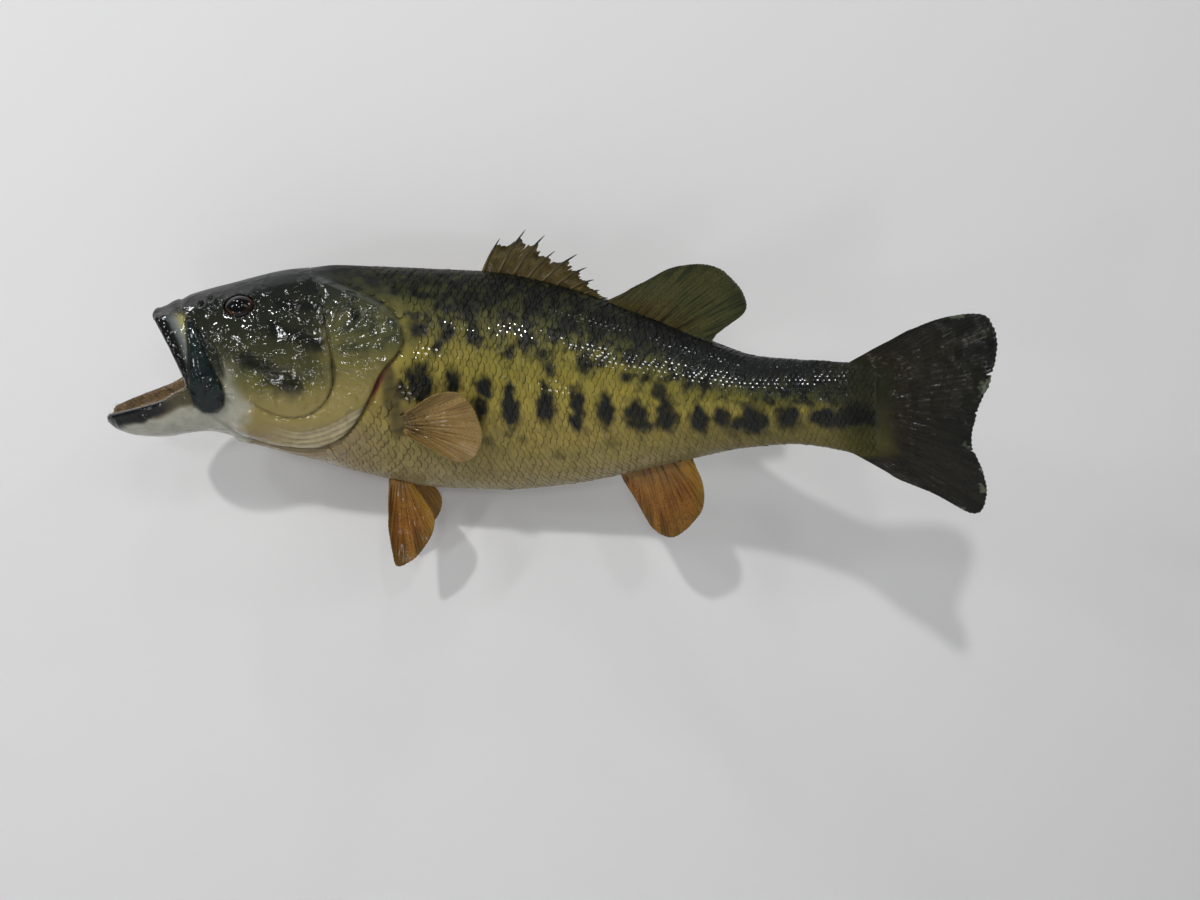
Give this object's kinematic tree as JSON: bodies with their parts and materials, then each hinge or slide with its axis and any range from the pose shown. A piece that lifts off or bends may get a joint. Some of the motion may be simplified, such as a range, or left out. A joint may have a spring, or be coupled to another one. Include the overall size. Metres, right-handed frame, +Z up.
{
  "type": "mounted largemouth bass",
  "caption": "Life-size mounted largemouth bass, mouth open and tail swung out from the wall, hung by a bevelled wood block on its hidden flank.",
  "frame": {"origin": "middle of the back face of the hanging block, in the plane of the wall", "axes": "+Z up, +Y into the wall, +X from head to tail; the fish hangs on the -Y side"},
  "size_m": [0.4789, 0.2561, 0.2215],
  "materials": {
    "head_skin": "painted and varnished fish skin, dark green above and yellow-green on the cheek",
    "jaw_skin": "painted and varnished skin, pale grey-white with a black lip",
    "maxilla": "glossy dark green-black plate",
    "body_skin": "varnished scaled skin, olive back, yellow-olive flank with black blotches, grey-cream belly",
    "dark_fin": "varnished dried fin, dark olive with fine rays",
    "amber_fin": "varnished dried fin, amber to orange-brown with fine rays",
    "glass_eye": "glass taxidermy eye, gold-brown ring round a black pupil",
    "block_wood": "sawn softwood block"
  },
  "bodies": {
    "root": {"head": "head_skin", "upper_jaw": "jaw_skin", "lower_jaw": "jaw_skin", "maxilla_left": "maxilla", "maxilla_right": "maxilla", "gill_cover_left": "head_skin", "gill_cover_right": "head_skin", "eye_left": "glass_eye", "eye_right": "glass_eye", "trunk": "body_skin", "tail_stalk": "body_skin", "caudal_fin": "dark_fin", "spiny_dorsal_fin": "dark_fin", "soft_dorsal_fin": "dark_fin", "anal_fin": "amber_fin", "pectoral_fin_left": "amber_fin", "pectoral_fin_right": "amber_fin", "pelvic_fin_left": "amber_fin", "pelvic_fin_right": "amber_fin", "mount_block": "block_wood"}
  },
  "joints": []
}
